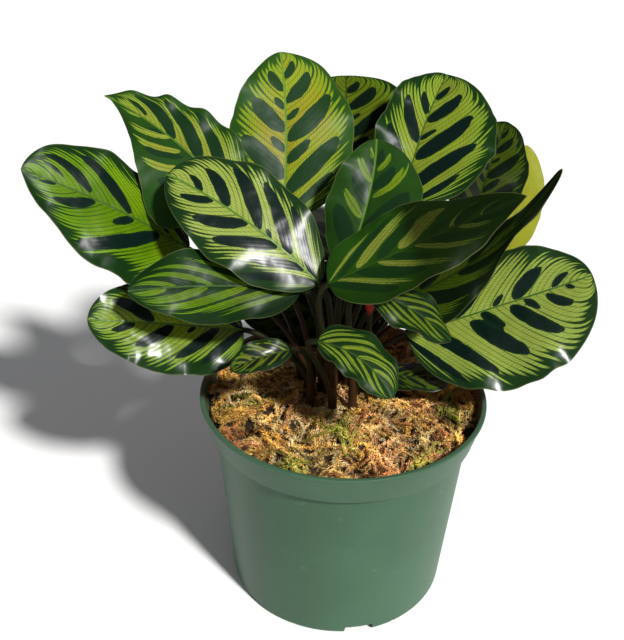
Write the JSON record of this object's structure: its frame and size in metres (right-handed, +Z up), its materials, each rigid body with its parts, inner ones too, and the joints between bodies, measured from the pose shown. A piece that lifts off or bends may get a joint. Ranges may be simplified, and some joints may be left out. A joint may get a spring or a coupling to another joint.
{
  "type": "potted plant",
  "caption": "Potted calathea: broad patterned leaves with waved margins on thin petioles, in a tapered round nursery pot topped with moss",
  "frame": {"origin": "centre of the flat underside of the pot", "axes": "+Z up along the pot's axis, -Y towards the plant's front, where the leaves lean out and the moss shows"},
  "size_m": [0.2857, 0.2303, 0.2778],
  "materials": {
    "pot": "satin",
    "potting_mix": "rough",
    "moss": "rough",
    "leaf": "satin"
  },
  "bodies": {
    "root": {"pot": "pot", "potting_mix": "potting_mix", "moss": "moss", "leaf_far_left": "leaf", "leaf_upper_left": "leaf", "leaf_top": "leaf", "leaf_top_behind": "leaf", "leaf_glossy_left": "leaf", "leaf_upper_right": "leaf", "leaf_young_centre": "leaf", "leaf_front_right": "leaf", "leaf_hooked_right": "leaf", "leaf_sunlit_right": "leaf", "leaf_shaded_right": "leaf", "leaf_low_right": "leaf", "leaf_low_left": "leaf", "leaf_mid_left": "leaf", "leaf_front_low": "leaf", "leaf_narrow_front": "leaf", "leaf_small_right": "leaf", "leaf_small_left": "leaf", "leaf_back_left": "leaf", "leaf_back": "leaf", "leaf_back_right": "leaf", "leaf_inner_back": "leaf", "leaf_back_low_left": "leaf"}
  },
  "joints": []
}
